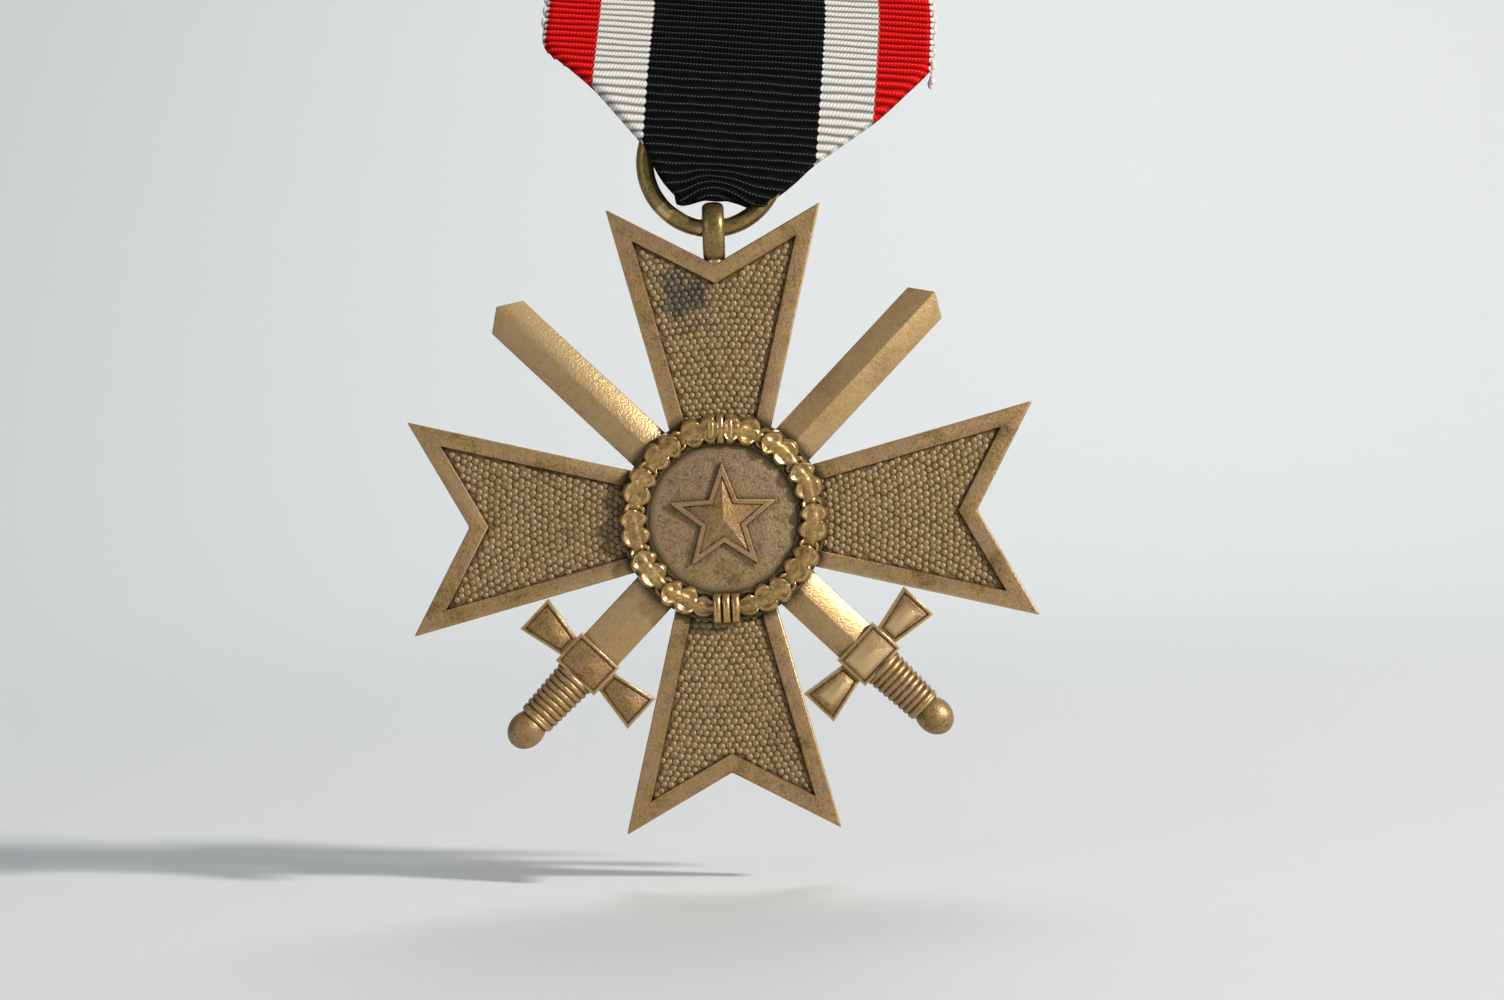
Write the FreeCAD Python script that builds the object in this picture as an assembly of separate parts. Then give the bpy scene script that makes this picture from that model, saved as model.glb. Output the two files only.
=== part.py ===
"""A bronze cross with swords, hung by a ring from a striped ribbon on a brooch hanger.

Everything is modelled about the cross: its centre is the origin, +Z is up, -Y is the front,
and export() then moves the whole medal so that the brooch needle's middle is the origin.
"""
import os
import FreeCAD, Part
from math import cos, hypot, radians, sin, tan

V = FreeCAD.Vector
origin = V(0, 0, 0)
along_x = V(1, 0, 0)
along_y = V(0, 1, 0)
along_z = V(0, 0, 1)

# cross
arm_reach = 23.9            # centre to the tips of an arm
arm_notch = 19.4            # centre to the bottom of the notch in an arm's end
arm_root_half = 2.16        # half width the sides would have at the centre
arm_flare = 0.2527          # half width gained per mm outwards
arm_half_thick = 1.0
rim_width = 1.25
field_depth = 0.35
field_start = 6.9
hub_radius = 7.95

# medallion
disc_radius = 5.86
disc_edge = 0.35            # height of the disc's edge above the hub
disc_crown = 0.60           # height of its middle
wreath_shoulder = 0.55
wreath_crown = 1.20
tie_half_width = 1.05
tie_band = 0.60
tie_crown = 1.30
tie_outside = 0.05
star_radius = 4.3
star_inner_ratio = 0.42
star_edge = 0.85            # height of the star's edge above the hub
star_crown = 1.15

# swords
blade_half_width = 1.75
blade_edge_half = 0.45
blade_ridge_half = 0.85
blade_shoulder = 22.58
blade_point = 23.75
block_centre = 15.2
block_across = 3.97
block_along = 2.87
block_half_thick = 1.0
block_peak = 0.35
guard_span = 5.62
guard_root_half = 0.87
guard_end_half = 1.55
guard_half_thick = 0.8
guard_peak = 0.3
grip_end = 21.0
grip_wide = 1.52
grip_narrow = 1.22
grip_ribs = 9
rib_depth = 0.14
grip_flatness = 0.8
pommel_centre = 22.3
pommel_radius = 1.38

# eyelet and ring
eyelet_outer = 2.05
eyelet_hole = 1.0
eyelet_width = 1.7
ring_wire = 0.675
ring_radius = 5.075
ring_bottom = 22.2          # height of the wire's middle where it passes through the eyelet
ring_gap = 0.45
ring_gap_offset = 1.15      # the gap lies this far to the left of the eyelet's middle

# ribbon
ribbon_half = 15.0
ribbon_layer = 0.6
fold_layer = 0.9            # two thicknesses of ribbon, where its edges are folded in
fold_bottom = 23.85
fold_centre = 1.0
fold_half = 3.4
fold_rise = 11.4            # from the bottom of the fold to full width
fold_clear = 1.0            # half the space between the layers, where the ring passes
pocket_clear = 0.4          # half the space between the layers higher up
lean = radians(6.0)
lean_top = 37.0
set_back = 7.0              # how far the ribbon curves back between bend_start and bend_end
bend_start = 33.0
bend_end = 45.0
bend_height = 35.0          # the line across which the ribbon bends
bend_gap = 0.5
web_half = 3.1
web_bottom = 24.9
web_thick = 0.6
stitch_height = 57.0
stitch_count = 9
stitch_pitch = 3.1
stitch_length = 1.7
stitch_thick = 0.25
hem_drop = 3.0              # the front layer turns over the plate and ends this far below its top

# hanger and brooch
plate_bottom = 58.0
plate_top = 68.0
plate_half = 15.5
plate_corner = 1.2
back_overlap = 2.0          # how far the back layer reaches up over the plate
needle_height = 62.6
needle_stand_off = 2.6
needle_radius = 0.5
needle_taper = 4.0
hinge_x = -11.0
needle_tip_x = 12.6
eye_radius = 1.15
eye_half = 0.55
rivet_radius = 0.45
rivet_clearance = 0.05
rivet_head = 0.8
rivet_head_thick = 0.3
ear_thick = 0.5
ear_gap = 0.08
ear_half = 1.2
foot_half = 1.8
foot_thick = 0.5
catch_x = 10.6
catch_half = 1.4
catch_wall = 0.5
catch_clear = 0.1
catch_lip = 0.9


def prism(points, depth_from, depth_to):
    """Extrude an outline given as (x, z) along Y."""
    corners = [V(x, depth_from, z) for x, z in points]
    face = Part.Face(Part.makePolygon(corners + corners[:1]))
    return face.extrude(V(0, depth_to - depth_from, 0))


def strip(points, x_from, x_to):
    """Extrude an outline given as (y, z) along X."""
    corners = [V(x_from, y, z) for y, z in points]
    face = Part.Face(Part.makePolygon(corners + corners[:1]))
    return face.extrude(V(x_to - x_from, 0, 0))


def block(low, high):
    return Part.makeBox(high[0] - low[0], high[1] - low[1], high[2] - low[2], V(*low))


def turned(outline):
    """Spin an outline of edges, lying in the XY half-plane x > 0, about the Y axis."""
    face = Part.Face(Part.Wire(outline))
    return face.revolve(origin, along_y, 360)


def to_back(shape):
    return shape.mirror(origin, along_y)


def hipped(corners, low, high, inset):
    """A slab on an outline of (x, z) corners whose sides slope in to a smaller flat top."""
    count = len(corners)
    middle_x = sum(x for x, z in corners) / count
    middle_z = sum(z for x, z in corners) / count
    base = [V(x, low, z) for x, z in corners]
    peak = [V(middle_x + (x - middle_x) * inset, high, middle_z + (z - middle_z) * inset)
            for x, z in corners]
    wires = [Part.makePolygon(ring + ring[:1]) for ring in (base, peak)]
    return Part.makeLoft(wires, True, True)


# ---- cross ----

def arm_half(r):
    return arm_root_half + arm_flare * r


def arm_outline():
    tip = arm_half(arm_reach)
    return [(0, 0), (arm_half(0), 0), (tip, arm_reach), (0, arm_notch), (-tip, arm_reach),
            (-arm_half(0), 0)]


def field_outline():
    """The sunk field: the arm's outline moved inwards by the width of the rim."""
    side_inset = rim_width * hypot(1, arm_flare)
    notch_slope = (arm_reach - arm_notch) / arm_half(arm_reach)
    notch = arm_notch - rim_width * hypot(1, notch_slope)
    corner = (arm_half(notch) - side_inset) / (1 - arm_flare * notch_slope)
    top = notch + notch_slope * corner
    start = arm_half(field_start) - side_inset
    return [(start, field_start), (corner, top), (0, notch), (-corner, top), (-start, field_start)]


def cross_plate(swords):
    arm = prism(arm_outline(), -arm_half_thick, arm_half_thick)
    field = prism(field_outline(), -arm_half_thick, -arm_half_thick + field_depth)
    arm = arm.cut(field).cut(to_back(field))
    hub = Part.makeCylinder(hub_radius, 2 * arm_half_thick, V(0, -arm_half_thick, 0), along_y)
    plate = hub
    for quarter in range(4):
        turned_arm = arm.copy()
        turned_arm.rotate(origin, along_y, 90 * quarter)
        plate = plate.fuse(turned_arm)
    for sword in swords:
        plate = plate.cut(sword)
    return plate.removeSplitter()


# ---- swords, upright, with the point towards +Z ----

def blade():
    section = [V(-blade_half_width, -blade_edge_half, 0), V(0, -blade_ridge_half, 0),
               V(blade_half_width, -blade_edge_half, 0), V(blade_half_width, blade_edge_half, 0),
               V(0, blade_ridge_half, 0), V(-blade_half_width, blade_edge_half, 0)]
    start = block_centre - block_along / 2
    bar = Part.Face(Part.makePolygon(section + section[:1])).extrude(V(0, 0, start + blade_point))
    bar.translate(V(0, 0, -start))
    outline = [(-blade_half_width, -start), (blade_half_width, -start),
               (blade_half_width, blade_shoulder), (0, blade_point),
               (-blade_half_width, blade_shoulder)]
    return bar.common(prism(outline, -blade_ridge_half, blade_ridge_half))


def guard():
    half_across = block_across / 2
    half_along = block_along / 2
    middle = [(-half_across, -block_centre - half_along), (half_across, -block_centre - half_along),
              (half_across, -block_centre + half_along), (-half_across, -block_centre + half_along)]
    solid = prism(middle, -block_half_thick, block_half_thick)
    roof = hipped(middle, -block_half_thick, -block_half_thick - block_peak, 0.45)
    solid = solid.fuse(roof).fuse(to_back(roof))
    for side in (-1, 1):
        bar = [(side * half_across, -block_centre - guard_root_half),
               (side * guard_span, -block_centre - guard_end_half),
               (side * guard_span, -block_centre + guard_end_half),
               (side * half_across, -block_centre + guard_root_half)]
        arm = prism(bar, -guard_half_thick, guard_half_thick)
        roof = hipped(bar, -guard_half_thick, -guard_half_thick - guard_peak, 0.4)
        solid = solid.fuse(arm).fuse(roof).fuse(to_back(roof))
    return solid


def grip():
    """The ribbed grip, turned and then flattened."""
    start = block_centre + block_along / 2
    pitch = (grip_end - start) / grip_ribs
    edges = [Part.makeLine(V(0, 0, -start), V(grip_wide - rib_depth, 0, -start))]
    for i in range(grip_ribs):
        near = grip_wide + (grip_narrow - grip_wide) * i / grip_ribs - rib_depth
        far = grip_wide + (grip_narrow - grip_wide) * (i + 1) / grip_ribs - rib_depth
        low = V(near, 0, -start - pitch * i)
        high = V(far, 0, -start - pitch * (i + 1))
        crest = V((near + far) / 2 + rib_depth, 0, -start - pitch * (i + 0.5))
        edges.append(Part.Arc(low, crest, high).toShape())
    edges.append(Part.makeLine(V(grip_narrow - rib_depth, 0, -grip_end), V(0, 0, -grip_end)))
    edges.append(Part.makeLine(V(0, 0, -grip_end), V(0, 0, -start)))
    solid = Part.Face(Part.Wire(edges)).revolve(origin, along_z, 360)
    flatten = FreeCAD.Matrix()
    flatten.scale(1, grip_flatness, 1)
    return solid.transformGeometry(flatten)


def sword(direction):
    """direction is -1 for the point at the upper left, +1 for the upper right."""
    pommel = Part.makeSphere(pommel_radius, V(0, 0, -pommel_centre))
    solid = blade().fuse(guard()).fuse(grip()).fuse(pommel)
    solid.rotate(origin, along_y, 45 * direction)
    return solid.removeSplitter()


def crossed_swords():
    """Where the blades cross, each gives up half its thickness to the other."""
    reach = 2.8 * blade_half_width
    front_half = block((-reach, -2, -reach), (reach, 0, reach))
    back_half = block((-reach, 0, -reach), (reach, 2, reach))
    left = sword(-1)
    right = sword(1)
    return left.cut(back_half.common(right)), right.cut(front_half.common(left))


# ---- medallion ----

def medallion():
    """A round slab whose top is part of a large sphere."""
    rise = disc_crown - disc_edge
    sphere_radius = (disc_radius**2 + rise**2) / (2 * rise)
    base = -arm_half_thick
    slab = Part.makeCylinder(disc_radius, disc_crown, V(0, base - disc_crown, 0), along_y)
    return slab.common(Part.makeSphere(sphere_radius, V(0, base - disc_crown + sphere_radius, 0)))


def wreath_ring(outside, shoulder, crown):
    base = -arm_half_thick
    middle = (disc_radius + outside) / 2
    outline = [Part.makeLine(V(disc_radius, base, 0), V(outside, base, 0)),
               Part.makeLine(V(outside, base, 0), V(outside, base - shoulder, 0)),
               Part.Arc(V(outside, base - shoulder, 0), V(middle, base - crown, 0),
                        V(disc_radius, base - shoulder, 0)).toShape(),
               Part.makeLine(V(disc_radius, base - shoulder, 0), V(disc_radius, base, 0))]
    return turned(outline)


def tie_space(half_width):
    return block((-half_width, -4, -2 * hub_radius), (half_width, 0, 2 * hub_radius))


def wreath():
    return wreath_ring(hub_radius, wreath_shoulder, wreath_crown).cut(tie_space(tie_half_width))


def wreath_ties():
    """Three bands above and three below, on a lower bed that joins them."""
    bed = wreath_ring(hub_radius, wreath_shoulder, wreath_crown).common(tie_space(tie_half_width))
    raised = wreath_ring(hub_radius + tie_outside, wreath_shoulder, tie_crown)
    pitch = (2 * tie_half_width - tie_band) / 2
    for i in (-1, 0, 1):
        slice_low = (i * pitch - tie_band / 2, -4, -2 * hub_radius)
        slice_high = (i * pitch + tie_band / 2, 0, 2 * hub_radius)
        bed = bed.fuse(raised.common(block(slice_low, slice_high)))
    return bed.removeSplitter()


def centre_star(disc):
    base = -arm_half_thick
    rim = []
    for i in range(10):
        radius = star_radius if i % 2 == 0 else star_radius * star_inner_ratio
        angle = radians(36 * i)
        rim.append((-radius * sin(angle), radius * cos(angle)))
    slab = prism(rim, base - star_edge, base)
    facets = hipped(rim, base - star_edge, base - star_crown, 0.02)
    return slab.fuse(facets).cut(disc)


# ---- eyelet and suspension ring ----

def eyelet(plate):
    half = eyelet_width / 2
    loop = Part.makeCylinder(eyelet_outer, eyelet_width, V(-half, 0, ring_bottom), along_x)
    neck = block((-half, -arm_half_thick, arm_notch - 0.6), (half, arm_half_thick, ring_bottom - 1))
    bore = Part.makeCylinder(eyelet_hole, eyelet_width, V(-half, 0, ring_bottom), along_x)
    return loop.fuse(neck).cut(bore).cut(plate).removeSplitter()


def ring_centre():
    return ring_bottom + ring_radius


def suspension_ring():
    """An open ring: the cut ends face each other across the gap."""
    gap_angle = 57.2958 * ring_gap / ring_radius
    start_angle = 57.2958 * ring_gap_offset / ring_radius + gap_angle / 2
    section = Part.Face(Part.Wire(Part.makeCircle(ring_wire, V(0, 0, ring_bottom), along_x)))
    wire = section.revolve(V(0, 0, ring_centre()), along_y, 360 - gap_angle)
    wire.rotate(V(0, 0, ring_centre()), along_y, start_angle)
    return wire


# ---- ribbon ----

def smooth(t):
    t = max(0.0, min(1.0, t))
    return t * t * (3 - 2 * t)


def ribbon_depth(z):
    """How far back the middle of the two layers lies at a height."""
    return set_back * smooth((z - bend_start) / (bend_end - bend_start))


def ribbon_middle(z):
    """The ribbon leans to the right as it rises, and comes back to the middle at the stitches."""
    slope = tan(lean)
    if z <= lean_top:
        return fold_centre + (z - fold_bottom) * slope
    span = stitch_height - lean_top
    t = min(1.0, (z - lean_top) / span)
    offset = fold_centre + (lean_top - fold_bottom) * slope
    return offset * (2 * t**3 - 3 * t**2 + 1) + slope * span * (t**3 - 2 * t**2 + t)


def half_space(z):
    return fold_clear + (pocket_clear - fold_clear) * smooth((z - 33.4) / 3)


def heights(low, high, count):
    return [low + (high - low) * i / count for i in range(count + 1)]


def layer_band(low, high, count, side, thick):
    """One layer of ribbon seen edge on; side is -1 for the front one, +1 for the back one."""
    inner = [(ribbon_depth(z) + side * half_space(z), z) for z in heights(low, high, count)]
    outer = [(y + side * thick, z) for y, z in reversed(inner)]
    return strip(inner + outer, -2 * ribbon_half, 2 * ribbon_half)


def in_ribbon(across, up):
    """A point of the leaning lower end, from its own across and up."""
    return (fold_centre + across * cos(lean) + up * sin(lean),
            fold_bottom + up * cos(lean) - across * sin(lean))


def ribbon_outline():
    """The whole ribbon seen from the front: the V at its lower end, then full width."""
    left_corner = in_ribbon(-ribbon_half, fold_rise)
    right_corner = in_ribbon(ribbon_half, fold_rise)
    left = [(ribbon_middle(z) - ribbon_half, z) for z in heights(left_corner[1] + 1, stitch_height, 8)]
    right = [(ribbon_middle(z) + ribbon_half, z) for z in heights(right_corner[1] + 1, stitch_height, 8)]
    crown = [(-ribbon_half, plate_top + 3), (ribbon_half, plate_top + 3)]
    over_eyelet = [(2.3, 24.15), (1.9, 24.15), (1.5, 24.65), (0, 24.5), (-1.5, 24.65),
                   (-1.9, 24.15)]
    points = ([in_ribbon(-fold_half, 0.3), left_corner] + left + crown + right[::-1]
              + [right_corner, in_ribbon(fold_half, 0.3)] + over_eyelet)
    return prism(points, -6, 2 * set_back)


def ribbon_lower():
    """Front V, back V, and the web that joins them through the ring."""
    top = bend_height - bend_gap
    outline = ribbon_outline()
    front = layer_band(fold_bottom - 1, top, 12, -1, fold_layer).common(outline)
    back = layer_band(fold_bottom - 1, top, 12, 1, fold_layer).common(outline)
    web = block((-web_half, -fold_clear, web_bottom), (web_half, fold_clear, web_bottom + web_thick))
    return front.fuse(back).fuse(web).removeSplitter()


def ribbon_upper_front():
    """The front length, turned over the top of the hanger plate."""
    low = bend_height + bend_gap
    front = layer_band(low, plate_top, 16, -1, ribbon_layer)
    outer = pocket_clear + ribbon_layer
    cap = block((-ribbon_half, set_back - outer, plate_top),
                (ribbon_half, set_back + outer, plate_top + ribbon_layer))
    hem = block((-ribbon_half, set_back + pocket_clear, plate_top - hem_drop),
                (ribbon_half, set_back + outer, plate_top))
    return front.common(ribbon_outline()).fuse(cap).fuse(hem).removeSplitter()


def ribbon_upper_back():
    low = bend_height + bend_gap
    back = layer_band(low, plate_bottom + back_overlap, 14, 1, ribbon_layer)
    return back.common(ribbon_outline())


def ribbon_stitches():
    """Short stitches through both layers, just below the plate, as separate threads."""
    outer = pocket_clear + ribbon_layer
    threads = []
    for i in range(stitch_count):
        x = (i - (stitch_count - 1) / 2) * stitch_pitch
        for side in (-1, 1):
            near = set_back + side * outer
            far = near + side * stitch_thick
            low = (x - stitch_length / 2, min(near, far), stitch_height - stitch_thick / 2)
            high = (x + stitch_length / 2, max(near, far), stitch_height + stitch_thick / 2)
            threads.append(block(low, high))
    return Part.makeCompound(threads)


# ---- hanger and brooch ----

def plate_back():
    return set_back + pocket_clear


def needle_depth():
    return plate_back() + needle_stand_off


def hanger_plate():
    plate = block((-plate_half, set_back - pocket_clear, plate_bottom),
                  (plate_half, plate_back(), plate_top))
    upright = [edge for edge in plate.Edges if edge.BoundBox.YLength > 2 * pocket_clear - 0.01]
    return plate.makeFillet(plate_corner, upright)


def hinge_bracket():
    """A foot on the plate with two ears, one above and one below the needle's eye."""
    back = plate_back()
    foot = block((hinge_x - foot_half, back, needle_height - 1.6),
                 (hinge_x + foot_half, back + foot_thick, needle_height + 1.6))
    solid = foot
    for side in (-1, 1):
        inner = needle_height + side * (eye_half + ear_gap)
        outer = inner + side * ear_thick
        low = min(inner, outer)
        ear = block((hinge_x - ear_half, back, low),
                    (hinge_x + ear_half, needle_depth(), low + ear_thick))
        round_end = Part.makeCylinder(ear_half, ear_thick, V(hinge_x, needle_depth(), low), along_z)
        solid = solid.fuse(ear).fuse(round_end)
    hole = Part.makeCylinder(rivet_radius, 6, V(hinge_x, needle_depth(), needle_height - 3), along_z)
    return solid.cut(hole).removeSplitter()


def hinge_rivet():
    half = eye_half + ear_gap + ear_thick
    shank = Part.makeCylinder(rivet_radius, 2 * half, V(hinge_x, needle_depth(), needle_height - half),
                              along_z)
    solid = shank
    for low in (needle_height + half, needle_height - half - rivet_head_thick):
        head = Part.makeCylinder(rivet_head, rivet_head_thick, V(hinge_x, needle_depth(), low), along_z)
        solid = solid.fuse(head)
    return solid


def brooch_needle():
    """A straight needle with a flat eye at the hinge and a sharp point."""
    start = V(hinge_x, needle_depth(), needle_height)
    shaft_length = needle_tip_x - needle_taper - hinge_x
    shaft = Part.makeCylinder(needle_radius, shaft_length, start, along_x)
    point = Part.makeCone(needle_radius, 0.06, needle_taper, start + V(shaft_length, 0, 0), along_x)
    eye = Part.makeCylinder(eye_radius, 2 * eye_half, start - V(0, 0, eye_half), along_z)
    hole = Part.makeCylinder(rivet_radius + rivet_clearance, 4, start - V(0, 0, 2), along_z)
    return eye.fuse(shaft).fuse(point).cut(hole).removeSplitter()


def catch_hook():
    """A trough with one lip turned outwards; the needle drops in from behind."""
    back = plate_back()
    inner = needle_radius + catch_clear
    outer = inner + catch_wall
    floor = needle_depth() - inner
    rim = needle_depth() + 0.3
    outline = [(back, -outer - catch_lip), (back + foot_thick, -outer - catch_lip),
               (back + foot_thick, -outer), (rim, -outer), (rim, -inner), (floor, -inner),
               (floor, inner), (rim + 0.6, inner), (rim + 0.6, outer), (back + foot_thick, outer),
               (back + foot_thick, outer + catch_lip), (back, outer + catch_lip)]
    points = [(y, needle_height + z) for y, z in outline]
    return strip(points, catch_x - catch_half, catch_x + catch_half)


def build():
    swords = crossed_swords()
    plate = cross_plate(swords)
    disc = medallion()
    leaves = wreath()
    ties = wreath_ties()
    return {
        "cross_plate": plate,
        "sword_left": swords[0],
        "sword_right": swords[1],
        "medallion_front": disc,
        "medallion_back": to_back(disc),
        "wreath_front": leaves,
        "wreath_back": to_back(leaves),
        "wreath_ties_front": ties,
        "wreath_ties_back": to_back(ties),
        "centre_star": centre_star(disc),
        "eyelet": eyelet(plate),
        "suspension_ring": suspension_ring(),
        "ribbon_lower": ribbon_lower(),
        "ribbon_upper_front": ribbon_upper_front(),
        "ribbon_upper_back": ribbon_upper_back(),
        "ribbon_stitches": ribbon_stitches(),
        "hanger_plate": hanger_plate(),
        "hinge_bracket": hinge_bracket(),
        "hinge_rivet": hinge_rivet(),
        "brooch_needle": brooch_needle(),
        "catch_hook": catch_hook(),
    }


def export():
    os.makedirs("parts", exist_ok=True)
    to_needle = V(0, -needle_depth(), -needle_height)
    for name, shape in build().items():
        shape.translate(to_needle)
        shape.exportStep("parts/" + name + ".step")
        box = shape.BoundBox
        print(name, shape.isValid(), len(shape.Solids), round(shape.Volume, 2),
              [round(value, 2) for value in (box.XMin, box.XMax, box.YMin, box.YMax, box.ZMin, box.ZMax)])


export()
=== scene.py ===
import math
import random

import bmesh
import bpy
from mathutils import Matrix, Vector


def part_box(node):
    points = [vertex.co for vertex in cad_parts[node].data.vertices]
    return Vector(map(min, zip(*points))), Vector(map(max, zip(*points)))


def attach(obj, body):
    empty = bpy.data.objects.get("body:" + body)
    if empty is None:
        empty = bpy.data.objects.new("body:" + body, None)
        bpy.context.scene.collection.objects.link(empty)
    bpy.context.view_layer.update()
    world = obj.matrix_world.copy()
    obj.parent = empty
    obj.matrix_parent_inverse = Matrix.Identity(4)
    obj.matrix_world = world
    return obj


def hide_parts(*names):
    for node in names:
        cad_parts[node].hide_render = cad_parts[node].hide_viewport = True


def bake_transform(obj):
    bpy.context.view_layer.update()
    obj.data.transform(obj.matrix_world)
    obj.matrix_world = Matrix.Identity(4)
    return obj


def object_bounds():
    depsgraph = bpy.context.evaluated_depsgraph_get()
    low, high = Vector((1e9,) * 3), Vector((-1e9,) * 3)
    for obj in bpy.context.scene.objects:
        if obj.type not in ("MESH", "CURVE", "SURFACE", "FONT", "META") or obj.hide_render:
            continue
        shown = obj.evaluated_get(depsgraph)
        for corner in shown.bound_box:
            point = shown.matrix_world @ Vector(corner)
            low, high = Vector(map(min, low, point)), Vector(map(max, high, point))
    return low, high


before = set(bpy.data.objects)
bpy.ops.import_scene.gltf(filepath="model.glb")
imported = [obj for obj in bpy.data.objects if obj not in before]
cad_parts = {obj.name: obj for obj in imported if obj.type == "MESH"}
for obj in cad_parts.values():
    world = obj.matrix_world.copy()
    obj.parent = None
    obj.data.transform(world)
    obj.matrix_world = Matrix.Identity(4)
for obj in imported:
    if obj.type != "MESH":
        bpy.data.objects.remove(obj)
cadLow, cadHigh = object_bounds()

mm = 0.001
mergeReach = 0.0004  # mm
plateLow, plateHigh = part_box("cross_plate")
crossMiddle = (plateLow + plateHigh) / 2  # pieces are modelled in mm about this point, -Y is the front
random.seed(11)


def smooth(t):
    t = max(0.0, min(1.0, t))
    return t * t * (3 - 2 * t)


def addObject(bm, name, material, flat=False):
    mesh = bpy.data.meshes.new(name)
    bm.to_mesh(mesh)
    bm.free()
    mesh.materials.append(material)
    if not flat:
        mesh.shade_smooth()
    piece = bpy.data.objects.new(name, mesh)
    bpy.context.scene.collection.objects.link(piece)
    return piece


# brings a mesh modelled in mm to its place in the frame
def toFrame(bm):
    bmesh.ops.scale(bm, vec=(mm, mm, mm), verts=bm.verts)
    bmesh.ops.translate(bm, vec=crossMiddle, verts=bm.verts)


# the usual end of a piece: cleaned, moved into the frame, given its slot and hung on its body
def finishPiece(bm, name, body, material, hides=(), sharp=38, recalc=True, flat=False):
    bmesh.ops.remove_doubles(bm, verts=bm.verts, dist=mergeReach)
    if recalc:
        bmesh.ops.recalc_face_normals(bm, faces=bm.faces)
    toFrame(bm)
    piece = addObject(bm, name, material, flat)
    piece.data.set_sharp_from_angle(angle=math.radians(sharp))
    if hides:
        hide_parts(*hides)
    if body:
        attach(piece, body)
    return piece


# materials

def newMaterial(name):
    material = bpy.data.materials.new(name)
    material.use_nodes = True
    nodes = material.node_tree.nodes
    shader = nodes["Principled BSDF"]
    return material, nodes, material.node_tree.links, shader


def noiseNode(nodes, links, source, scale, detail=3.0, roughness=0.55):
    node = nodes.new("ShaderNodeTexNoise")
    node.inputs["Scale"].default_value = scale
    node.inputs["Detail"].default_value = detail
    node.inputs["Roughness"].default_value = roughness
    links.new(source, node.inputs["Vector"])
    return node.outputs["Fac"]


def rampNode(nodes, links, value, stops, interpolation="LINEAR"):
    node = nodes.new("ShaderNodeValToRGB")
    node.color_ramp.interpolation = interpolation
    elements = node.color_ramp.elements
    elements.remove(elements[1])
    elements[0].position = stops[0][0]
    elements[0].color = (*stops[0][1], 1)
    for place, colour in stops[1:]:
        elements.new(place).color = (*colour, 1)
    links.new(value, node.inputs["Fac"])
    return node.outputs["Color"]


def grey(value):
    return (value, value, value)


def mixNode(nodes, links, factor, a, b, blend="MIX"):
    node = nodes.new("ShaderNodeMix")
    node.data_type = "RGBA"
    node.blend_type = blend
    for socket, value in ((node.inputs[0], factor), (node.inputs[6], a), (node.inputs[7], b)):
        if isinstance(value, (int, float)):
            socket.default_value = value
        elif isinstance(value, tuple):
            socket.default_value = (*value, 1)
        else:
            links.new(value, socket)
    return node.outputs[2]


def mathNode(nodes, links, operation, *values):
    node = nodes.new("ShaderNodeMath")
    node.operation = operation
    for socket, value in zip(node.inputs, values):
        if isinstance(value, (int, float)):
            socket.default_value = value
        else:
            links.new(value, socket)
    return node.outputs[0]


def bumpNode(nodes, links, height, strength, distance):
    node = nodes.new("ShaderNodeBump")
    node.inputs["Strength"].default_value = strength
    node.inputs["Distance"].default_value = distance
    links.new(height, node.inputs["Height"])
    return node.outputs["Normal"]


# struck bronze: sandy grain, patina in patches, patina and painted shade in the hollows and rubbed bright on
# the edges
bronzeLook = {"lit": (0.305, 0.188, 0.066), "pink": (0.285, 0.168, 0.088), "shade": (0.165, 0.098, 0.032),
              "hollowPatinaShade": (0.012, 0.007, 0.003), "worn": (0.62, 0.44, 0.21), "grain": 5200, "patch": 260,
              "metal": 0.6, "rub": 1.0, "shadowRing": (0.018, 0.012, 0.007), "tarnish": (0.040, 0.045, 0.042)}
outerShadowRing = (7.75, 8.0, 8.7)  # painted shadow ring that the wreath casts on the arms and swords, mm from the middle
# painted shadow of the wreath's inner edge on the rim of the disc, mm from the middle
innerShadowRing = (5.35, 5.85, 6.4)
stain = {"x": -2.2, "z": 17.0, "radius": 4.6}  # the grey stain on the upper arm, mm


def fromMiddle(nodes, links, place, x, z):
    shift = nodes.new("ShaderNodeVectorMath")
    shift.operation = "SUBTRACT"
    links.new(place, shift.inputs[0])
    shift.inputs[1].default_value = (crossMiddle.x + x * mm, 0, crossMiddle.z + z * mm)
    flat = nodes.new("ShaderNodeVectorMath")
    flat.operation = "MULTIPLY"
    links.new(shift.outputs[0], flat.inputs[0])
    flat.inputs[1].default_value = (1, 0, 1)
    length = nodes.new("ShaderNodeVectorMath")
    length.operation = "LENGTH"
    links.new(flat.outputs[0], length.inputs[0])
    return mathNode(nodes, links, "DIVIDE", length.outputs["Value"], mm)


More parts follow.
